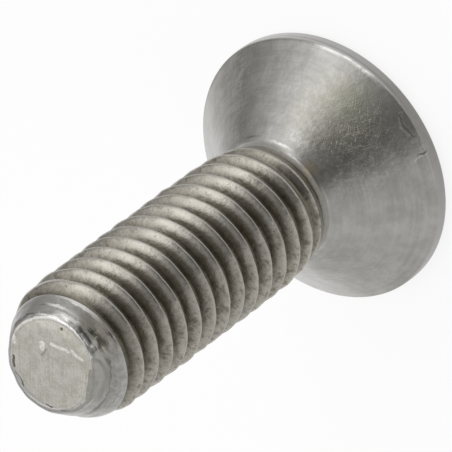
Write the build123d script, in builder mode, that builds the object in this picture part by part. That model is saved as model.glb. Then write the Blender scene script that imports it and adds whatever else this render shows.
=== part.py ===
from build123d import *
import math
import os

os.makedirs("parts", exist_ok=True)

# Countersunk head screw with a hexagon socket, M5 x 16, with a rolled right-hand thread.
# The screw stands on its head: the flat head face lies on the XY plane with its centre at
# the origin, and the shank rises along +Z to the point. All lengths are in millimetres.

# Overall
screw_length = 15.7  # nominal 16, at the short end of its tolerance; the head counts in it

# Head
head_diameter = 9.45
rim_height = 0.52  # the narrow cylindrical land between the head face and the cone
rim_chamfer = 0.12  # takes the edge off round the head face
cone_chamfer = 0.04  # and the same between the land and the cone
countersink_angle = 90  # included angle of the cone
under_head_chamfer = 0.2  # fills the corner where the cone meets the neck

# Hexagon socket
socket_across_flats = 3.0
socket_depth = 2.0
socket_floor_angle = 120  # left by the drill before the hexagon is pressed in
socket_mouth_diameter = 3.7  # a light countersink that takes off the six corners
socket_mouth_angle = 120

# Shank and thread
neck_diameter = 4.4  # the blank as it goes between the rolls, left plain below the head
crest_diameter = 4.92
root_diameter = 4.0
basic_diameter = 5.0  # where the tooth is pitch / 8 thick
pitch = 0.8
flank_angle = 60  # between the two sides of the tooth
first_crest_height = 3.05  # of the helix where it crosses the +X axis, inside the neck
crest_runout_start = 3.35  # where the crests rise out of the neck
crest_runout_end = 5.2
root_runout_start = 3.6  # where the roots leave the neck
root_runout_end = 4.7

# Point: a chamfer that rounds off into the crests
end_diameter = 3.44
end_chamfer = 0.08  # takes the edge off round the end face
point_angle = 31  # of the chamfer to the screw's axis
point_rounding = 2.0
point_clearance = 0.02  # of the rounding's widest circle round the crests

# Sizes that follow from those above
head_radius = head_diameter / 2
neck_radius = neck_diameter / 2
crest_radius = crest_diameter / 2
root_radius = root_diameter / 2
end_radius = end_diameter / 2
drill_radius = socket_across_flats / 2
mouth_radius = socket_mouth_diameter / 2


def cone_height(radius, included_angle):
    """Height of a cone from its base circle to its apex."""
    return radius / math.tan(math.radians(included_angle / 2))


def tooth_half_width(radius):
    """Half the thickness of the thread's tooth at a radius, measured along the screw."""
    return pitch / 16 + (basic_diameter / 2 - radius) * math.tan(math.radians(flank_angle / 2))


# One turn of the thread's tooth: a trapezoid swept along the helix. Its foot is sunk into the
# core, so that the two join all the way along.
foot_radius = root_radius - pitch / 10
with BuildPart() as turn:
    with BuildLine() as winding:
        Helix(pitch, pitch, root_radius, center=(0, 0, first_crest_height))
    with BuildSketch(Plane(winding.line @ 0, x_dir=(1, 0, 0), z_dir=winding.line % 0)):
        with BuildLine():
            Polyline(
                (foot_radius - root_radius, -tooth_half_width(foot_radius)),
                (crest_radius - root_radius, -tooth_half_width(crest_radius)),
                (crest_radius - root_radius, tooth_half_width(crest_radius)),
                (foot_radius - root_radius, tooth_half_width(foot_radius)),
                close=True,
            )
        make_face()
    sweep(path=winding.line, is_frenet=True)

# The whole tooth, from inside the neck to past the end of the screw. Next to the head the
# metal never rose to a full crest, so a cone takes the first crests down to the neck.
turns = math.ceil((screw_length - first_crest_height) / pitch) + 1
runout_slope = (crest_radius - neck_radius) / (crest_runout_end - crest_runout_start)
clear_height = crest_runout_end + pitch
with BuildPart() as tooth:
    with Locations(*[(0, 0, i * pitch) for i in range(turns)]):
        add(turn.part)
    with BuildSketch(Plane.YZ):
        with BuildLine():
            Polyline(
                (neck_radius - runout_slope * (crest_runout_start - rim_height), rim_height),
                (head_radius, rim_height),
                (head_radius, clear_height),
                (crest_radius + runout_slope * pitch, clear_height),
                close=True,
            )
        make_face()
    revolve(mode=Mode.SUBTRACT)

# The point's rounding runs from its widest circle, just outside the crests, to the chamfer.
point_slope = math.radians(point_angle)
rounding_radius_at_chamfer = (
    crest_radius + point_clearance - point_rounding * (1 - math.cos(point_slope))
)
chamfer_height = (rounding_radius_at_chamfer - end_radius) / math.tan(point_slope)
rounding_top = (rounding_radius_at_chamfer, screw_length - chamfer_height)
rounding_foot = (
    crest_radius + point_clearance,
    screw_length - chamfer_height - point_rounding * math.sin(point_slope),
)

neck_height = rim_height + cone_height(head_radius - neck_radius, countersink_angle)
with BuildPart() as screw:
    # Head, neck and the core that the tooth is wound on
    with BuildSketch(Plane.YZ) as profile:
        with BuildLine():
            Polyline(
                (0, 0),
                (head_radius, 0),
                (head_radius, rim_height),
                (neck_radius, neck_height),
                (neck_radius, root_runout_start),
                (root_radius, root_runout_end),
                (root_radius, screw_length),
                (0, screw_length),
                close=True,
            )
        make_face()
        head_edge = profile.vertices().sort_by_distance((head_radius, 0))[0]
        chamfer(head_edge, rim_chamfer)
        cone_edge = profile.vertices().sort_by_distance((head_radius, rim_height))[0]
        chamfer(cone_edge, cone_chamfer)
        neck_corner = profile.vertices().sort_by_distance((neck_radius, neck_height))[0]
        chamfer(neck_corner, under_head_chamfer)
    revolve()
    add(tooth.part)

    # Point: all that stands outside the rounded chamfer goes, and what is above the end face
    above_end = screw_length + 3 * pitch
    with BuildSketch(Plane.YZ):
        with BuildLine():
            RadiusArc(rounding_foot, rounding_top, -point_rounding)
            Polyline(
                rounding_top,
                (end_radius, screw_length),
                (0, screw_length),
                (0, above_end),
                (head_radius, above_end),
                (head_radius, rounding_foot[1]),
                rounding_foot,
            )
        make_face()
    revolve(mode=Mode.SUBTRACT)
    end_face = screw.faces().sort_by(Axis.Z)[-1]
    chamfer(end_face.edges(), end_chamfer)

    # Hexagon socket, with the countersink at its mouth and the drill's cone as its floor
    with BuildSketch(Plane.XY):
        RegularPolygon(drill_radius, 6, major_radius=False)
    extrude(amount=socket_depth, mode=Mode.SUBTRACT)
    with BuildSketch(Plane.YZ):
        with BuildLine():
            Polyline(
                (0, 0),
                (mouth_radius, 0),
                (0, cone_height(mouth_radius, socket_mouth_angle)),
                close=True,
            )
        make_face()
        with BuildLine():
            Polyline(
                (0, socket_depth),
                (drill_radius, socket_depth),
                (0, socket_depth + cone_height(drill_radius, socket_floor_angle)),
                close=True,
            )
        make_face()
    revolve(mode=Mode.SUBTRACT)

screw.part.label = "screw"
export_step(screw.part, "parts/screw.step")
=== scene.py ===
import math

import bpy
import numpy as np
from mathutils import Matrix


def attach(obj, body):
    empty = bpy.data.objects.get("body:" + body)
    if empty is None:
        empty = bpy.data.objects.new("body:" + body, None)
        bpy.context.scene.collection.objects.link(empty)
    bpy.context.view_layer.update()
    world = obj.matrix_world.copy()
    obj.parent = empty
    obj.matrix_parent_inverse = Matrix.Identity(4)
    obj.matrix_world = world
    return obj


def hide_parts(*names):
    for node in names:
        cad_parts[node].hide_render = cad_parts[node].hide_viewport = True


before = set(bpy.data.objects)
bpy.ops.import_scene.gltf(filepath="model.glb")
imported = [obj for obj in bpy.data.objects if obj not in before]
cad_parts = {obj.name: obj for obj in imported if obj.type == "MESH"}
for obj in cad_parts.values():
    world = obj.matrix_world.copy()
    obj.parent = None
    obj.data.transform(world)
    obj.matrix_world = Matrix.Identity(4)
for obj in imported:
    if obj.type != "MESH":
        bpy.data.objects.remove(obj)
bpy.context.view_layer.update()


# The screw: one piece of stainless steel wire. Its head is upset in a die, its cone and rim are
# turned and its hexagon is punched. The thread is rolled between flat dies, which squeeze the
# metal out of the grooves and up into the crests, and the end keeps the marks of the shear.
MM = 0.001
columns = 252  # round the screw; a multiple of six, so that the hexagon's corners fall on them
screw_length = 15.7
head_radius = 4.725
rim_height = 0.52  # where the cone, carried on from the neck, would meet the head's side
rim_round = 0.22  # of the edge that the screw stands on
edge_height = 0.57  # of the edge between the side and the cone
edge_round = 0.12
neck_radius = 2.07
neck_fillet = 0.35
pitch = 0.8
crest_radius = 2.492
crest_half_width = 0.035
root_radius = 2.0
first_crest = 3.13  # height of the crest where its helix crosses the +X axis
runout_drop = 0.42  # how far below the others the first crest lies, at runout_height
runout_height = 3.33
thread_start = 3.40
thread_end = 15.42
point_start = 1.725  # radius that the chamfer starts from at the end face
point_slope = 0.62  # radius that it gains for each mm of height
face_radius = 1.64  # of the end face before it is pushed out of round
face_mean = 1.66
face_height = 15.697  # just inside the end face's lip
chord_side = math.radians(-145.0)  # the side where the end's edge is a short straight chord
chord_distance = 1.385
hexagon_half = 1.5  # from the axis to a flat
hexagon_corner = 1.715
socket_depth = 2.0
mouth_radius = 1.85
drill_slope = 1.0 / math.tan(math.radians(60.0))  # height over radius of a 120 degree drill's cone


def soft_min(a, b, k):
    """The smaller of a and b, with the corner between them rounded over about k."""
    return -k * np.logaddexp(-a / k, -b / k)


def soft_max(a, b, k):
    """The larger of a and b, rounded in the same way."""
    return k * np.logaddexp(a / k, b / k)


def ease(x, start, end):
    """0 before start, 1 after end, and a smooth S between them."""
    t = np.clip((x - start) / (end - start), 0.0, 1.0)
    return t * t * (3.0 - 2.0 * t)


def end_edge(azimuth):
    """Radius of the end face's edge: the shear left it a little oval, to one side of the axis,
    and cut off by the chord on one side."""
    oval = face_radius + 0.13 * np.cos(azimuth) - 0.12 * np.sin(azimuth) - 0.07 * np.cos(2.0 * azimuth)
    oval += 0.21 * np.clip(np.cos(azimuth - math.radians(125.0)), 0.0, 1.0) ** 2
    return soft_min(oval, chord_distance / np.maximum(np.cos(azimuth - chord_side), 0.2), 0.02)


def point_radius(height, azimuth):
    """Radius of the point: a chamfer that widens from the end face and rounds into the crests.
    Near the end it leans over to the edge of the face."""
    depth = screw_length - height
    true_round = soft_min(point_start + point_slope * depth, crest_radius, 0.17)
    lean = end_edge(azimuth) - face_mean
    return true_round + lean * (1.0 - ease(depth, 0.0, 0.9))


def thread_radius(height, azimuth):
    """Radius of the thread. The distance along the screw from the nearest crest gives a straight
    60 degree flank, which is cut off softly at the crest and at the root. Next to the neck both
    of these ease into the neck's radius. Near the point the grooves get a little shallower, and
    the chamfer cuts across them."""
    turns = (height - first_crest) / pitch - azimuth / (2.0 * math.pi)
    from_crest = np.abs(turns - np.round(turns)) * pitch
    flank = crest_radius - (from_crest - crest_half_width) / math.tan(math.radians(30.0))
    crest = crest_radius - runout_drop * np.exp((runout_height - height) / pitch)
    root = neck_radius - (neck_radius - root_radius) * ease(height, thread_start, 5.0)
    root = root + 0.16 * ease(height, 14.7, 15.3)
    tooth = soft_max(soft_min(flank, crest, 0.075), root, 0.03)
    return soft_min(tooth, point_radius(height, azimuth), 0.015)


def hexagon_radius(azimuth):
    """Distance from the axis to the side of the hexagon. Its corners are slightly round."""
    side = np.mod(azimuth + math.pi / 6.0, math.pi / 3.0) - math.pi / 6.0
    sharp = hexagon_half / np.cos(math.pi / 6.0 - np.abs(side))
    return soft_min(sharp, hexagon_corner, 0.01)


def arc(centre_radius, centre_height, size, start, end, count):
    """Radii and heights of count points on an arc, from one angle to another, in degrees from +r."""
    angle = np.radians(np.linspace(start, end, count))
    return np.stack([centre_radius + size * np.cos(angle), centre_height + size * np.sin(angle)], 1)


def straight(start, end, count):
    """count points on a straight line of the profile, both ends included."""
    return np.linspace(np.array(start, float), np.array(end, float), count)


azimuth = np.linspace(0.0, 2.0 * math.pi, columns, endpoint=False)
flat = np.ones(columns)

# Rings of the socket, from the tip of the drilled cone out to the head's face
hexagon = hexagon_radius(azimuth)
mouth = (mouth_radius - hexagon) * drill_slope
wall_foot = socket_depth - 0.04
socket_rings = [(hexagon_half * t * flat, (socket_depth + hexagon_half * (1.0 - t) * drill_slope) * flat)
                for t in (0.2, 0.4, 0.6, 0.8, 0.97)]
socket_rings += [(hexagon - inset, (socket_depth - rise) * flat)
                 for inset, rise in ((0.03, 0.0), (0.008, 0.01), (0.0, 0.04))]
socket_rings += [(hexagon, wall_foot + (mouth + 0.03 - wall_foot) * t) for t in (0.25, 0.5, 0.75, 1.0)]
socket_rings += [(hexagon + 0.004, mouth + 0.008), (hexagon + 0.015, mouth - 0.008)]
socket_rings += [(hexagon + (mouth_radius - 0.01 - hexagon) * t, mouth * (1.0 - t) + 0.004 * t)
                 for t in (0.5, 0.93)]
socket_rings += [((mouth_radius + 0.02) * flat, 0.0 * flat)]

# Profile of the head outside the socket: face, rounded rim, cone and the neck's fillet
slope = math.sqrt(0.5)
edge_centre = (head_radius - edge_round, edge_height - edge_round * (math.sqrt(2.0) - 1.0))
fillet_tangent = neck_fillet * (math.sqrt(2.0) - 1.0)
neck_height = rim_height + head_radius - neck_radius
cone_start = (head_radius - 0.07, edge_height + 0.07)
cone_end = (neck_radius + fillet_tangent * slope + 0.03, neck_height - fillet_tangent * slope - 0.03)
head_profile = np.concatenate([
    straight((mouth_radius + 0.10, 0.0), (head_radius - rim_round - 0.05, 0.0), 12),
    arc(head_radius - rim_round, rim_round, rim_round, -90.0, 0.0, 7),
    straight((head_radius, rim_round + 0.06), (head_radius, edge_centre[1] - 0.03), 4),
    arc(*edge_centre, edge_round, 0.0, 45.0, 5),
    straight(cone_start, cone_end, 24),
    arc(neck_radius + neck_fillet, neck_height + fillet_tangent, neck_fillet, 225.0, 180.0, 7),
    straight((neck_radius, neck_height + fillet_tangent + 0.03), (neck_radius, thread_start), 3),
])

# Rings of the point beyond the thread: the rest of the chamfer, then the edge, which rolls over
# to one side, the lip inside it with its ditch, and the sheared face down to its middle
edge = end_edge(azimuth)
point_rings = [(point_radius(height, azimuth), height * flat)
               for height in (thread_end, 15.47, 15.52, 15.57, 15.62)]
point_rings += [(edge + out, height * flat) for out, height in
                ((0.045, 15.652), (0.025, 15.676), (-0.01, 15.69), (-0.05, 15.698), (-0.09, 15.7))]
ditch = 0.007 * np.clip(np.cos(azimuth - math.radians(70.0)), 0.0, 1.0)
point_rings += [(edge - inside, 15.698 - ditch * share) for inside, share in
                ((0.11, 0.4), (0.13, 1.0), (0.16, 1.0), (0.20, 0.4))]
point_rings += [((edge - 0.23) * t, face_height * flat) for t in np.linspace(0.99, 0.08, 13)]

# Rows of the thread follow its helix: each keeps its distance from the crest all the way up.
crest_steps = np.array([0.0, 0.045, 0.075, 0.105, 0.16, 0.22, 0.28, 0.32, 0.36, 0.4])
steps = np.concatenate([crest_steps, pitch - crest_steps[8:0:-1]]) / pitch
rows_a_turn = len(steps)
turn_count = math.ceil((thread_end - first_crest) / pitch) + 1
turn_number = np.repeat(np.arange(-1, turn_count), rows_a_turn) + np.tile(steps, turn_count + 1)
row_height = first_crest + pitch * (turn_number[:, None] + azimuth[None, :] / (2.0 * math.pi))

profile_radius, profile_height = np.repeat(head_profile.T[:, :, None], columns, 2)
ring_radius = np.concatenate([[r for r, h in socket_rings], profile_radius])
ring_height = np.concatenate([[h for r, h in socket_rings], profile_height])
end_ring_radius = np.array([r for r, h in point_rings])
end_ring_height = np.array([h for r, h in point_rings])


def point_number(rows, first):
    """Numbers of the mesh points of some rows of the grid, the first of which is first."""
    return first + np.arange(rows * columns).reshape(rows, columns)


low_rings = len(ring_radius)
high_rings = len(end_ring_radius)
helix_rows = len(row_height)
below = point_number(low_rings, 0)
above = point_number(high_rings, low_rings * columns)
helix = point_number(helix_rows, (low_rings + high_rings) * columns)
# A helical row that would come near the thread's first or last ring joins that ring instead.
join = 0.004
helix = np.where(row_height < thread_start + join, below[-1][None, :], helix)
helix = np.where(row_height > thread_end - join, above[0][None, :], helix)


def row_quads(numbers):
    """Four-sided faces between each row of point numbers and the next, facing outwards."""
    corners = [numbers[:-1, :-1], numbers[:-1, 1:], numbers[1:, 1:], numbers[1:, :-1]]
    return np.stack(corners, -1).reshape(-1, 4)


def ring_quads(numbers):
    """Faces between rings: each ring closes on itself."""
    return row_quads(np.concatenate([numbers, numbers[:, :1]], 1))


def helix_quads(numbers, shift):
    """Faces between helical rows: after a full turn a row meets the one a pitch up."""
    return row_quads(np.concatenate([numbers[:-shift], numbers[shift:, :1]], 1))


quads = np.concatenate([ring_quads(below), helix_quads(helix, rows_a_turn), ring_quads(above)])
triangles = np.concatenate([quads[:, [0, 1, 2]], quads[:, [0, 2, 3]]])
socket_pole = (low_rings + high_rings + helix_rows) * columns
end_pole = socket_pole + 1
following = np.roll(np.arange(columns), -1)
socket_fan = np.stack([np.full(columns, socket_pole), below[0][following], below[0]], 1)
end_fan = np.stack([np.full(columns, end_pole), above[-1], above[-1][following]], 1)
triangles = np.concatenate([triangles, socket_fan, end_fan])
whole = ((triangles[:, 0] != triangles[:, 1]) & (triangles[:, 1] != triangles[:, 2])
         & (triangles[:, 2] != triangles[:, 0]))
triangles = triangles[whole]

radius = np.concatenate([ring_radius.ravel(), end_ring_radius.ravel(),
                         thread_radius(row_height, azimuth[None, :]).ravel(), [0.0, 0.0]])
height = np.concatenate([ring_height.ravel(), end_ring_height.ravel(), row_height.ravel(),
                         [socket_depth + hexagon_half * drill_slope, face_height]])
around = np.concatenate([np.tile(azimuth, low_rings + high_rings + helix_rows), [0.0, 0.0]])
points = np.stack([radius * np.cos(around), radius * np.sin(around), height], 1)

# Points that no face uses are left out.
used = np.unique(triangles)
renumber = np.zeros(len(points), int)
renumber[used] = np.arange(len(used))
triangles = renumber[triangles]
points = points[used]


def lumps(points, size, seed):
    """Smooth random heights, mostly from -1 to 1: the sum of 24 plane waves, which run in random
    directions and are each about this long from crest to crest."""
    random = np.random.default_rng(seed)
    runs = random.normal(size=(3, 24))
    runs *= 2.0 * math.pi / (size * random.uniform(0.7, 1.4, 24) * np.linalg.norm(runs, axis=0))
    return np.sin(points @ runs + random.uniform(0.0, 2.0 * math.pi, 24)).sum(1) * 0.15


# The hammered chamfer, the edge rolled over at one side, the crests' small waves and one knock
outward = np.hypot(points[:, 0], points[:, 1])
radial = points * (1.0, 1.0, 0.0) / np.maximum(outward, 0.1)[:, None]
at_end = ease(points[:, 2], 14.75, 15.15)
at_side = at_end * ease(outward, 1.35, 1.65)
on_crest = ease(outward, 2.25, 2.42) * ease(points[:, 2], 3.6, 4.4) * (1.0 - at_end)
rolling = radial + (0.0, 0.0, 1.0) * points[:, 2:]
hammered = 0.020 * lumps(rolling, 0.60, 3) + 0.010 * lumps(rolling, 0.28, 4)
hammered = hammered + 0.008 * lumps(points, 0.5, 8)
waves = 0.012 * lumps(points, 1.0, 5) + 0.006 * lumps(points, 0.4, 6)
knock_place = (0.776, -2.335, 5.52)
knock = np.exp(-np.sum(((points - knock_place) / 0.09) ** 2, 1))
points += radial * (at_side * hammered + on_crest * waves - 0.08 * knock)[:, None]
rolled_side = (0.26, -0.966, 0.0)
rolled = np.clip(radial @ rolled_side, 0.0, 1.0) ** 2
points[:, 2] -= 0.05 * rolled * ease(outward, 1.35, 1.8) * ease(points[:, 2], 15.5, 15.68)
points[:, 2] -= 0.004 * (1.0 + lumps(points, 1.1, 7)) * ease(points[:, 2], 15.66, 15.68)

# The finished surface as one smooth mesh, in metres and standing on its head at the origin
surface = bpy.data.meshes.new("socket_screw")
surface.from_pydata((points * MM).tolist(), [], triangles.tolist())
surface.update()
surface.shade_smooth()
screw = bpy.data.objects.new("socket_screw", surface)
bpy.context.scene.collection.objects.link(screw)


class Wire:
    """An output of a shader node. Sums and products of wires add the Math nodes that do them."""

    def __init__(self, socket):
        self.socket = socket

    def node(self, kind, settings, inputs, output=0):
        """Any other node: its settings first, then values or wires for its sockets."""
        made = self.socket.id_data.nodes.new(kind)
        for key, value in settings.items():
            setattr(made, key, value)
        for key, value in inputs.items():
            if isinstance(value, Wire):
                self.socket.id_data.links.new(value.socket, made.inputs[key])
            else:
                made.inputs[key].default_value = value
        return Wire(made.outputs[output])

    def math(self, operation, *values):
        """A Math node's result for these values or wires."""
        return self.node("ShaderNodeMath", {"operation": operation}, dict(enumerate(values)))

    def vector(self, operation, *values, output=0):
        """A Vector Math node's result: output 0 is a vector and output 1 a number."""
        return self.node("ShaderNodeVectorMath", {"operation": operation}, dict(enumerate(values)), output)

    def __add__(self, other):
        return self.math("ADD", self, other)

    def __radd__(self, other):
        return self.math("ADD", other, self)

    def __sub__(self, other):
        return self.math("SUBTRACT", self, other)

    def __rsub__(self, other):
        return self.math("SUBTRACT", other, self)

    def __mul__(self, other):
        return self.math("MULTIPLY", self, other)

    def __rmul__(self, other):
        return self.math("MULTIPLY", other, self)

    def __truediv__(self, other):
        return self.math("DIVIDE", self, other)

    def __rtruediv__(self, other):
        return self.math("DIVIDE", other, self)

    def between(self, low, high):
        """0 where the value is under low, 1 over high, and a smooth S between them."""
        return self.node("ShaderNodeMapRange", {"interpolation_type": "SMOOTHSTEP"},
                         {"Value": self, "From Min": low, "From Max": high, "To Min": 0.0, "To Max": 1.0})

    def band(self, low, high, fade):
        """1 from low to high, and fading to 0 over this distance on both sides."""
        return self.between(low - fade, low) * (1.0 - self.between(high, high + fade))

    def mix(self, first, second):
        """first where this value is 0 and second where it is 1, as colours."""
        return self.node("ShaderNodeMix", {"data_type": "RGBA"}, {0: self, 6: first, 7: second}, 2)

    def noise(self, scale, detail=3.0, rough=0.55, output=0):
        """Noise read at this vector, about scale lumps to a unit."""
        return self.node("ShaderNodeTexNoise", {},
                         {"Vector": self, "Scale": scale, "Detail": detail, "Roughness": rough}, output)

    def shaken(self, shake, size):
        """This vector moved by size times the noise vector shake, less half of size, so that on
        the whole it stays where it was."""
        half = np.multiply(size, 0.5).tolist()
        moved = self.vector("MULTIPLY_ADD", shake, size, self)
        return moved.vector("SUBTRACT", moved, half)

    def within(self, point, inner, outer):
        """1 up to the inner distance from a point, and 0 past the outer one."""
        return 1.0 - self.vector("DISTANCE", self, point, output=1).between(inner, outer)

    def near(self, point, size):
        """1 at a point, falling to 0 at this distance from it."""
        return self.within(point, 0.0, size)

    def grain(self, turn, length, width, detail=1.0):
        """Noise drawn out along one direction, turned by these angles in degrees."""
        mapped = self.node("ShaderNodeMapping", {"vector_type": "TEXTURE"},
                           {"Vector": self, "Rotation": [math.radians(angle) for angle in turn],
                            "Scale": (length, width, width)})
        return mapped.noise(1.0, detail, 0.5)

    def ring(self, centre, size, width):
        """1 on a circle round a centre and 0 at width from it."""
        gap = self.vector("DISTANCE", self, centre, output=1) - size
        return 1.0 - gap.math("ABSOLUTE", gap).between(0.2 * width, width)

    def scratch(self, start, end, width):
        """1 on the straight line from start to end and 0 at width from it. The nearest point of
        the line is at the share of its length that this place's shadow on it has."""
        line = np.subtract(end, start)
        offset = self.vector("SUBTRACT", self, start)
        share = offset.vector("DOT_PRODUCT", offset, (line / (line @ line)).tolist(), output=1)
        share = share.math("MINIMUM", share, 1.0)
        share = share.math("MAXIMUM", share, 0.0)
        nearest = share.node("ShaderNodeCombineXYZ", {},
                             {axis: share * float(line[axis]) for axis in range(3)})
        return nearest.within(offset, 0.2 * width, width)

    def scratches(self, *marks):
        """Scratches on a level plane, added up. Each mark is the x and y where it starts, the x
        and y where it ends, its width and its strength."""
        total = 0.0
        for start_x, start_y, end_x, end_y, width, strength in marks:
            total = self.scratch((start_x, start_y, 0.0), (end_x, end_y, 0.0), width) * strength + total
        return total


steel = bpy.data.materials.new("satin_steel")
steel.use_nodes = True
shader = steel.node_tree.nodes["Principled BSDF"]

# Places on the screw in millimetres, and the same seen along its axis
place = Wire(steel.node_tree.nodes.new("ShaderNodeTexCoord").outputs["Object"])
place = place.node("ShaderNodeVectorMath", {"operation": "SCALE"}, {0: place, "Scale": 1.0 / MM})
across, deep, up = (place.node("ShaderNodeSeparateXYZ", {}, {0: place}, axis) for axis in "XYZ")
plan = place.vector("MULTIPLY", place, (1.0, 1.0, 0.0))
from_axis = plan.vector("LENGTH", plan, output=1)
along = up - from_axis
bearing = place.node("ShaderNodeCombineXYZ", {}, {0: across / from_axis, 1: deep / from_axis})


def toward_side(degrees, size):
    """1 on the side of the screw at this angle round it, and 0 further round than size radians."""
    angle = math.radians(degrees)
    return bearing.near((math.cos(angle), math.sin(angle), 0.0), size)


def drawn_round(turn_scale, third):
    """Places for noise that is drawn out round the screw: turn_scale sets how fast it changes on
    the way round, and third how it changes across its lines."""
    return bearing.node("ShaderNodeCombineXYZ", {}, {0: across / from_axis * turn_scale,
                                                     1: deep / from_axis * turn_scale, 2: third})


# The screw's parts: head, cone, land, rolled thread, chamfered point and sheared end face
chamfered = (from_axis + up * 0.62).between(11.22, 11.36) * up.between(14.5, 14.75)
chamfered = chamfered + up.between(15.1, 15.3)
chamfered = chamfered.math("MINIMUM", chamfered, 1.0)
threaded = up.between(3.1, 3.5) * (1.0 - chamfered)
head = 1.0 - up.between(3.0, 3.2)
cone = head * up.between(0.5, 0.56)
land = (1.0 - up.between(0.545, 0.60)) * from_axis.between(4.6, 4.68)
end_face = up.between(15.6, 15.66)
point = chamfered * (1.0 - end_face)

# Noise at several sizes, lines that follow the turning, and hairlines in three directions
cloud = place.noise(1.6, 4.0, 0.6)
blotch = place.noise(2.6, 4.0, 0.65)
stain = place.noise(4.5, 4.0, 0.65)
speck = place.noise(7.0, 3.0, 0.6)
fine = place.noise(16.0, 2.0, 0.6)
turning = drawn_round(0.9, along * 4.5).noise(1.0, 3.0, 0.7)
streaks = drawn_round(1.8, from_axis * 8.0).noise(1.0, 2.0, 0.6)
drag = place.grain((0.0, 0.0, -46.6), 1.1, 0.045, 3.0)
wander = place.noise(1.6, 2.0, output=1)
loose = place.shaken(wander, (0.5, 0.5, 0.5))
shaky = plan.shaken(place.noise(2.5, 2.0, output=1), (0.2, 0.2, 0.0))
bent = place.vector("MULTIPLY_ADD", wander, (0.18, 0.18, 0.18), place)
hairlines = (bent.grain((0.0, -20.7, 22.2), 0.55, 0.035, 2.0).between(0.56, 0.74)
             + bent.grain((0.0, 33.0, -36.0), 0.45, 0.035, 2.0).between(0.56, 0.74)
             + bent.grain((0.0, -41.0, 58.0), 0.6, 0.04, 2.0).between(0.56, 0.74))

# Colours of the steel itself: turned, rolled, hammered and sheared, and the painted light, shade and
# highlights of some parts
turned_pale = (0.445, 0.437, 0.42, 1.0)
turned_dull = (0.345, 0.335, 0.315, 1.0)
land_painted_shade = (0.165, 0.16, 0.152, 1.0)
land_grey = (0.33, 0.325, 0.315, 1.0)
land_painted_light = (0.44, 0.435, 0.43, 1.0)
land_painted_highlight = (0.66, 0.655, 0.65, 1.0)
rolled_steel = (0.48, 0.465, 0.43, 1.0)
bare_highlight_steel = (0.54, 0.51, 0.46, 1.0)
crest_painted_shade = (0.19, 0.18, 0.155, 1.0)
crest_grey = (0.37, 0.36, 0.335, 1.0)
hammered_pale = (0.39, 0.378, 0.356, 1.0)
hammered_dull = (0.28, 0.272, 0.26, 1.0)
hammered_shade = (0.27, 0.262, 0.26, 1.0)
fold_pale = (0.39, 0.378, 0.345, 1.0)
fold_brown = (0.27, 0.258, 0.232, 1.0)
fold_tan = (0.40, 0.37, 0.305, 1.0)
sheared_pale = (0.45, 0.44, 0.405, 1.0)
sheared_dull = (0.345, 0.33, 0.285, 1.0)
sheared_edge_shade = (0.33, 0.325, 0.315, 1.0)
painted_highlight_tone = (0.82, 0.81, 0.79, 1.0)

# Colours of what lies on it: handling, old oil, dry film, stains and dirt, and the darks of painted shade
handled_pale = (0.53, 0.52, 0.50, 1.0)
handled_dark = (0.25, 0.24, 0.22, 1.0)
charcoal = (0.26, 0.25, 0.235, 1.0)
oil_brown = (0.345, 0.325, 0.265, 1.0)
olive = (0.37, 0.365, 0.30, 1.0)
gold = (0.45, 0.385, 0.27, 1.0)
dry_tan = (0.385, 0.36, 0.302, 1.0)
dry_pale = (0.55, 0.525, 0.45, 1.0)
stain_brown = (0.20, 0.175, 0.135, 1.0)
neck_shade_brown = (0.135, 0.127, 0.108, 1.0)
neck_shade_grey = (0.21, 0.20, 0.18, 1.0)
deep_brown = (0.115, 0.10, 0.078, 1.0)
soot_and_shade = (0.075, 0.066, 0.046, 1.0)

# The head: cloudy turned steel, and a land with painted light and shade: paler and brighter toward one
# side, darker toward another
colour = (cloud * 0.65 + turning * 0.35).between(0.32, 0.68).mix(turned_pale, turned_dull)
land_painted_tone = plan.near((3.3, -3.4, 0.0), 4.2).mix(land_grey, land_painted_light)
land_painted_tone = plan.near((4.5, -1.5, 0.0), 2.6).mix(land_painted_tone, land_painted_highlight)
land_painted_tone = plan.near((-0.6, -4.7, 0.0), 3.6).mix(land_painted_tone, land_painted_shade)
land_painted_tone = (speck * 0.35 + turning * 0.15).mix(land_painted_tone, colour)
colour = (land * 0.85).mix(colour, land_painted_tone)
# A thin painted shadow line along the land, just below its edge with the cone
edge_painted_shadow = up.between(0.37, 0.41) * (1.0 - up.between(0.43, 0.47)) * across.between(-0.6, 0.6) * land
colour = (edge_painted_shadow * 0.3).mix(colour, soot_and_shade)

# Smudges and hairlines where the cone was handled; the smudge also lays painted shade over the cone's dark
# band, and two more bands of painted shade lie further round
mottle = (speck * 0.55 + blotch * 0.45).between(0.38, 0.60)
# Mottled smudge, which also darkens the cone's dark band as painted shade
smudge_and_shade = loose.near((0.0, -3.2, 2.0), 2.2) * (0.3 + mottle) * cone
colour = (smudge_and_shade * 0.75).mix(colour, charcoal)
grime = loose.near((0.35, -2.75, 2.45), 1.3) * (speck * 0.5 + blotch * 0.5).between(0.44, 0.58) * cone
colour = (grime * 0.5).mix(colour, soot_and_shade)
handled = loose.near((0.45, -3.35, 1.75), 2.9) * cone
colour = (handled * 0.6).mix(colour, mottle.mix(handled_pale, handled_dark))
hairlines = hairlines * loose.near((0.3, -3.4, 1.7), 2.4) * cone
colour = (hairlines * 0.35).mix(colour, turned_pale)
# Painted shade: two dark bands round the cone
painted_shade_bands = toward_side(6.0, 0.55) * 0.44 + toward_side(168.0, 0.5) * 0.25
colour = (painted_shade_bands * cone * (0.7 + cloud * 0.6)).mix(colour, soot_and_shade)
oil_film = loose.near((0.7, -3.3, 1.8), 2.6) * cone * (0.25 + speck * 0.7)
colour = oil_film.mix(colour, oil_brown)
olive_spot = loose.near((1.0, -3.75, 1.35), 1.3) * cone
colour = (olive_spot * (0.5 + speck * 0.8)).mix(colour, olive)
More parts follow.
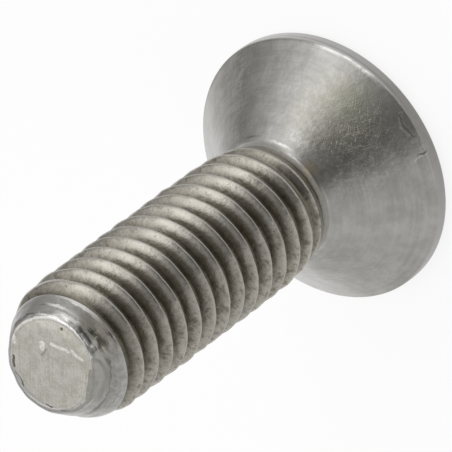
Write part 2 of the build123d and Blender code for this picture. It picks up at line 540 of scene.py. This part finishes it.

# The rolled thread: a dry tan film with brown stains, and paler steel on its outer half, mostly a painted
# highlight on the lit side with some bare patches elsewhere
colour = (threaded * (0.45 + 0.55 * speck.between(0.35, 0.6))).mix(colour, dry_tan)
dappled = toward_side(215.0, 1.3) * threaded
blemish = stain.between(0.50, 0.68) * threaded + stain.between(0.47, 0.57) * dappled * 0.35
colour = (blemish * 0.75).mix(colour, stain_brown)
colour = ((1.0 - stain.between(0.40, 0.50)) * dappled * 0.3).mix(colour, dry_pale)
# Painted highlight: pale steel on the outer flanks of the lit side, and a few bare patches elsewhere
bare_and_highlight = (from_axis + (speck - 0.5) * 0.1).between(2.15, 2.4) * threaded
bare_and_highlight = bare_and_highlight * (plan.near((0.55, -2.4, 0.0), 2.3) * 0.8 + blotch.between(0.5, 0.62) * 0.2)
colour = (bare_and_highlight * 0.85).mix(colour, bare_highlight_steel)
colour = (speck.between(0.52, 0.64) * threaded * 0.6).mix(colour, rolled_steel)

# Painted shade in the grooves and round the neck, small pits, and the lines rubbed along the crests, which
# get painted shade on one side
# Painted shade: the grooves darken toward the root, and more on one side of the screw
lee_shade = plan.near((-0.9, -2.2, 0.0), 2.2)
groove_shade = 2.39 - from_axis + (speck - 0.5) * 0.16 + (blotch - 0.5) * 0.2 + lee_shade * 0.03
groove_shade = groove_shade.between(0.0, 0.36) * threaded * (0.5 + 0.5 * up.between(3.5, 4.2))
colour = (groove_shade * (0.76 + lee_shade * 0.12)).mix(colour, soot_and_shade)
# Painted shade in the corner where the cone runs into the thread, left off on the lit side
neck_shade = up.band(3.17, 3.47, 0.08) * (0.55 + speck * 0.6) * (1.0 - plan.near((1.1, -1.9, 0.0), 1.1))
neck_shade_tone = plan.near((0.2, -2.2, 0.0), 1.6).mix(neck_shade_grey, neck_shade_brown)
colour = (neck_shade * 0.85).mix(colour, neck_shade_tone)
colour = (loose.near((0.17, -2.2, 3.05), 0.45) * 0.7).mix(colour, gold)
pits = fine.between(0.60, 0.69) * blotch.between(0.46, 0.58) * threaded
colour = (pits * 0.7).mix(colour, soot_and_shade)
crest_lag = 0.05  # turns that the rubbed line lies past the middle of the crest
turns = (up - first_crest) / pitch - deep.math("ARCTAN2", deep, across) / (2.0 * math.pi) + crest_lag
crest_share = (turns.math("FRACT", turns) - 0.5) * 2.0
crest_share = crest_share.math("ABSOLUTE", crest_share)
rubbed = (crest_share + (fine - 0.5) * 0.08 + (speck - 0.5) * 0.06).between(0.72, 0.88) * threaded
# The rubbed crest lines get painted shade on one side of the screw
crest_shaded_tone = plan.near((-0.2, -2.45, 0.0), 1.7).mix(crest_grey, crest_painted_shade)
colour = (rubbed * 0.8).mix(colour, crest_shaded_tone)

# The point: a cool hammered chamfer, browner inside its fold, with painted shade on two sides
fold_centre = (0.12, 0.02, 0.0)
point_tone = (speck * 0.6 + blotch * 0.4).between(0.35, 0.65).mix(hammered_pale, hammered_dull)
inside_fold = shaky.within(fold_centre, 2.0, 2.12)
inside_fold = inside_fold * (1.0 - deep.between(-0.4, 0.2)) * (1.0 - across.between(-0.4, 0.1))
fold_tone = streaks.between(0.4, 0.6).mix(fold_brown, fold_pale)
point_tone = (inside_fold * 0.7).mix(point_tone, fold_tone)
# Painted shade on two sides of the chamfer
shadow_side = across.between(0.7, 1.6) * deep.between(-1.5, -0.7)
point_tone = shadow_side.mix(point_tone, hammered_shade)
brown_side = toward_side(-92.0, 0.6) * from_axis.between(1.96, 2.10) * (0.55 + speck * 0.6)
point_tone = (brown_side * 0.8).mix(point_tone, deep_brown)
point_tone = (toward_side(-8.0, 0.85) * (0.28 + streaks * 0.5)).mix(point_tone, soot_and_shade)
colour = (point * 0.9).mix(colour, point_tone)

# The end face: warm, with the drag lines of the shear, and greyer, as painted shade, where it rounds into
# its edge
face_tone = (drag * 0.2 + blotch * 0.3 + fine * 0.25 + speck * 0.25).between(0.41, 0.59)
face_tone = face_tone.mix(sheared_pale, sheared_dull)
shoulder_shade = 1.0 - shaky.within((0.08, -0.11, 0.0), 1.57, 1.66)
face_tone = (shoulder_shade * 0.8).mix(face_tone, sheared_edge_shade)
colour = end_face.mix(colour, face_tone)
dark_streak = (1.0 - streaks.between(0.40, 0.52)) * place.near((0.1, -2.0, 15.25), 1.5) * point
colour = (dark_streak * 0.5).mix(colour, soot_and_shade)

# Dark marks: the knocks on the rim, with painted shade in their cuts, the fold on the chamfer, and the
# cuts in the end face. They are drawn in plan, so that each lies on its surface.
rim_knock_and_shade = cone * shaky.scratches((-0.11, -4.62, -0.50, -4.48, 0.05, 1.0),
                                 (-0.50, -4.48, -1.00, -4.50, 0.04, 1.0),
                                 (-1.57, -4.42, -1.572, -4.36, 0.07, 1.0),
                                 (-1.572, -4.33, -1.575, -4.24, 0.03, 1.0))
fold = shaky.ring(fold_centre, 2.04, 0.045) * (1.0 - deep.between(0.0, 0.5))
fold = fold * (1.0 - across.between(-0.9, -0.6))
fold = point * (fold + shaky.scratches((-0.12, -2.06, -0.52, -1.97, 0.05, 0.4),
                                       (-0.52, -1.97, -0.98, -1.70, 0.05, 0.4)))
fold_crest = point * shaky.scratches((0.05, -2.09, -0.48, -2.04, 0.06, 1.0),
                                     (-0.48, -2.04, -0.85, -1.90, 0.05, 1.0))
face_cut = end_face * shaky.scratches((0.05, 1.60, 0.25, 1.48, 0.03, 1.0),
                                      (0.25, 1.48, 0.60, 1.48, 0.02, 1.0),
                                      (0.72, 1.37, 1.03, 1.14, 0.045, 1.0),
                                      (-1.05, 1.14, -0.88, 1.23, 0.03, 1.0),
                                      (-1.43, 0.62, -1.30, 0.86, 0.02, 1.0))
colour = (fold_crest * 0.5).mix(colour, fold_tan)
colour = (rim_knock_and_shade * 0.3 + fold * 0.35 + face_cut * 0.8).mix(colour, soot_and_shade)
pinhole = plan.near((0.79, -1.396, 0.0), 0.09) * end_face
colour = (pinhole * 1.4).mix(colour, soot_and_shade)

# Painted highlights: on the knocks' burrs, the dents in the end face, its lip and the dented chamfer
rim_knock_highlight = cone * shaky.scratches((-0.20, -4.52, -0.50, -4.40, 0.06, 1.0),
                                  (-0.50, -4.40, -0.90, -4.43, 0.05, 1.0),
                                  (-1.66, -4.36, -1.66, -4.10, 0.05, 1.0))
face_shine = end_face * shaky.scratches((0.66, -0.16, 0.76, -0.295, 0.13, 1.15),
                                        (0.60, -0.625, 0.03, -1.03, 0.09, 1.0),
                                        (0.0, -1.2, -0.40, -1.3, 0.12, 1.0),
                                        (1.34, 0.72, 1.48, 0.56, 0.11, 1.0))
face_shine = face_shine * (fine * 0.6 + speck * 0.4).between(0.36, 0.54)
lip = shaky.ring((0.08, -0.13, 0.0), 1.72, 0.06) * (1.0 - deep.between(-0.9, 0.1))
lip = lip * up.between(15.45, 15.55) * across.between(-0.3, 0.2)
lip = lip * (0.6 + 0.4 * speck.between(0.40, 0.55))
lip_corner = shaky.scratches((0.25, -1.92, -0.22, -1.88, 0.06, 1.0))
lip_corner = lip_corner + plan.scratches((-0.26, -1.84, -0.50, -1.70, 0.06, 0.7),
                                         (-0.50, -1.70, -0.80, -1.36, 0.05, 0.5))
lip = lip + lip_corner * up.between(15.42, 15.50)
glint_height = up + (blotch - 0.5) * 0.25
chamfer_glints = (glint_height.band(15.23, 15.29, 0.04) * toward_side(-45.0, 0.28) * 1.3
        + glint_height.band(15.44, 15.53, 0.05) * toward_side(-60.0, 0.3)
        + glint_height.band(14.85, 14.93, 0.05) * toward_side(-60.0, 0.55) * (0.4 + speck)
        + streaks.between(0.50, 0.58) * (plan.near((1.15, -1.62, 0.0), 1.35) - 0.2) * 0.6)
chamfer_glints = chamfer_glints.math("MINIMUM", chamfer_glints, 1.0) * point

# Burnished edges, between the cone and the rim and where the cone runs into the neck, with painted glints
# laid on them; the burnish also makes them smoother
glint_breakup = wander.node("ShaderNodeSeparateXYZ", {}, {0: wander}, "X").between(0.46, 0.58)
rim_edge = from_axis.between(4.61, 4.65) * up.band(0.535, 0.60, 0.03) * (1.0 - across.between(3.0, 3.6))
rim_edge = rim_edge * (0.35 + glint_breakup * 0.5) * across.between(0.2, 1.6)
rim_glint = up.band(0.60, 0.64, 0.03) * (toward_side(-51.0, 0.16) + toward_side(-70.0, 0.22)) * cone
neck_at = up + (speck - 0.5) * 0.08
neck_ring = (neck_at.band(3.04, 3.07, 0.03) * toward_side(-50.0, 0.32)
             + neck_at.band(3.19, 3.22, 0.03) * toward_side(-66.0, 0.30))
neck_ring = neck_ring * (0.6 + 0.4 * speck.between(0.35, 0.5))
neck_glint_patch = neck_at.band(2.66, 2.86, 0.1) * toward_side(-57.5, 0.24) * fine.between(0.45, 0.6)
neck_ring = neck_ring + neck_glint_patch * 0.35
burnish_and_glints = rim_edge + neck_ring * 0.8 + rim_glint * 0.6
# All the painted highlights are mixed in together as colour
painted_highlights = burnish_and_glints * 0.7 + face_shine * 0.5 + lip * 0.6 + chamfer_glints * 0.65 + rim_knock_highlight * 0.28
colour = painted_highlights.mix(colour, painted_highlight_tone)

# Thin shadows beside the bright marks
dent = shaky.scratch((0.50, 0.02, 0.0), (0.56, -0.28, 0.0), 0.06) * end_face
rim_shade = from_axis.between(4.57, 4.61) * up.band(0.56, 0.62, 0.04) * across.between(3.0, 3.6)
neck_line = up.band(2.95, 2.98, 0.02) * toward_side(-18.5, 0.22)
colour = (dent * 0.35 + rim_shade * 0.25 + neck_line * 0.4).mix(colour, soot_and_shade)

# Relief in millimetres, summed into one bump
relief = ((turning - 0.5) * 0.004 * cone
          + (cloud - 0.5) * 0.02 * head
          + (speck - 0.5) * 0.010 * threaded
          + (fine - 0.5) * 0.001 * threaded
          + (speck - 0.5) * 0.006 * point
          + (streaks - 0.5) * 0.03 * point
          + (drag - 0.5) * 0.003 * end_face
          + (face_shine + lip) * 0.004
          - hairlines * 0.003
          - rim_knock_and_shade * 0.006
          - fold * 0.012
          - face_cut * 0.02)
bump = place.node("ShaderNodeBump", {}, {"Strength": 1.0, "Distance": MM, "Height": relief}, "Normal")
rough = 0.25 + (speck - 0.5) * 0.12 + land * 0.1 - burnish_and_glints * 0.06 - point * 0.07 - threaded * 0.05

steel.node_tree.links.new(colour.socket, shader.inputs["Base Color"])
steel.node_tree.links.new(rough.socket, shader.inputs["Roughness"])
steel.node_tree.links.new(bump.socket, shader.inputs["Normal"])
shader.inputs["Metallic"].default_value = 1.0
surface.materials.append(steel)

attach(screw, "root")
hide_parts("screw")


# The floor: a plain white table that the screw stands on its head on. It is matt, so that it
# keeps the screw's soft shadow, and it glows a little where it is looked at or mirrored.
floor_reach = 2.0
floor_corners = [(-floor_reach, -floor_reach, 0.0), (floor_reach, -floor_reach, 0.0),
                 (floor_reach, floor_reach, 0.0), (-floor_reach, floor_reach, 0.0)]
floor_mesh = bpy.data.meshes.new("floor")
floor_mesh.from_pydata(floor_corners, [], [(0, 1, 2, 3)])
floor = bpy.data.objects.new("floor", floor_mesh)
bpy.context.scene.collection.objects.link(floor)
white = bpy.data.materials.new("white_table")
white.use_nodes = True
paint = white.node_tree.nodes["Principled BSDF"]
paint.inputs["Base Color"].default_value = (0.95, 0.95, 0.95, 1.0)
paint.inputs["Roughness"].default_value = 0.9
paint.inputs["Specular IOR Level"].default_value = 0.0
glow_share = 0.85  # the rest is the paint, which takes the shadow
rays = white.node_tree.nodes.new("ShaderNodeLightPath")
seen = Wire(rays.outputs["Is Camera Ray"]) + Wire(rays.outputs["Is Glossy Ray"])
seen = (seen + Wire(rays.outputs["Is Transmission Ray"])) * glow_share
glow = seen.node("ShaderNodeEmission", {}, {"Color": (1.0, 1.0, 1.0, 1.0), "Strength": 1.0})
table = seen.node("ShaderNodeMixShader", {}, {0: seen, 1: Wire(paint.outputs["BSDF"]), 2: glow})
white.node_tree.links.new(table.socket, white.node_tree.nodes["Material Output"].inputs["Surface"])
floor_mesh.materials.append(white)


# The studio: a dim ceiling, a pale wall to one side, a long strip of soft light that arches over
# the other side, and a soft panel high at the back. Its light comes from far away on every side.
ceiling_level = 0.218
wall_level = 0.622
strip_level = 1.30
panel_level = 0.798
strip_facing = (-0.636, -0.649, 0.416)  # square to the plane that the strip arches in
panel_facing = (0.0, 0.62, 0.785)
world = bpy.data.worlds.new("studio")
bpy.context.scene.world = world
world.use_nodes = True
background = world.node_tree.nodes["Background"]
toward = Wire(world.node_tree.nodes.new("ShaderNodeTexCoord").outputs["Generated"])


def facing(direction):
    """How far the direction looked in agrees with this one: 1 where they are the same."""
    return toward.vector("DOT_PRODUCT", toward, direction, output=1)


rise = facing((0.0, 0.0, 1.0))
side = facing((1.0, 0.0, 0.0))
rear = facing((0.0, 1.0, 0.0))
off_strip = facing(strip_facing)
strip_width = 0.7 - 0.362 * off_strip.between(-0.05, 0.05)
steep = (off_strip / strip_width) * (off_strip / strip_width)
gentle = (off_strip / 0.49) * (off_strip / 0.49)
strip = side.between(0.0, 0.221) / (1.0 + steep * steep + gentle)
strip = strip * (strip_level + 0.35 * rise.between(0.65, 0.92))
wall = (0.0 - side).between(0.28, 0.506) * (1.0 - 0.43 * rise.between(0.4, 0.85))
panel = facing(panel_facing).between(0.72, 0.9)
ceiling = ceiling_level + 0.17 * rise.between(0.75, 0.97) + 0.05 * side.between(0.25, 0.7)
ceiling = ceiling - 0.089 * rear.between(0.0, 0.7)
strength = ceiling + wall_level * wall + strip + panel_level * panel
horizon = 1.0 - rise.between(0.022, 0.03)
strength = strength * (1.0 - horizon) + horizon
world.node_tree.links.new(strength.socket, background.inputs["Strength"])
background.inputs["Color"].default_value = (1.0, 1.0, 1.0, 1.0)


# The camera: a long lens, far enough off to show the screw with little perspective. It looks down
# at 44 degrees and is rolled over, so that the point of the screw is at the lower left.
looking_down = math.radians(44.385)
roll = math.radians(-126.5)
distance = 385.9
head_from_middle = (3.427, 2.151)  # how far right of and above the view's middle the head stands
level = np.array([1.0, 0.0, 0.0])
upward = np.array([0.0, math.sin(looking_down), math.cos(looking_down)])
back = np.array([0.0, -math.cos(looking_down), math.sin(looking_down)])
right = math.cos(roll) * level + math.sin(roll) * upward
top = -math.sin(roll) * level + math.cos(roll) * upward
eye = distance * back - head_from_middle[0] * right - head_from_middle[1] * top
lens = bpy.data.cameras.new("camera")
lens.lens = 931.4
lens.clip_start = 0.05
lens.clip_end = 10.0
camera = bpy.data.objects.new("camera", lens)
matrix = np.eye(4)
matrix[:3] = np.stack([right, top, back, eye * MM], 1)
camera.matrix_world = Matrix(matrix.tolist())
bpy.context.scene.collection.objects.link(camera)
bpy.context.scene.camera = camera
bpy.context.scene.view_settings.view_transform = "Standard"
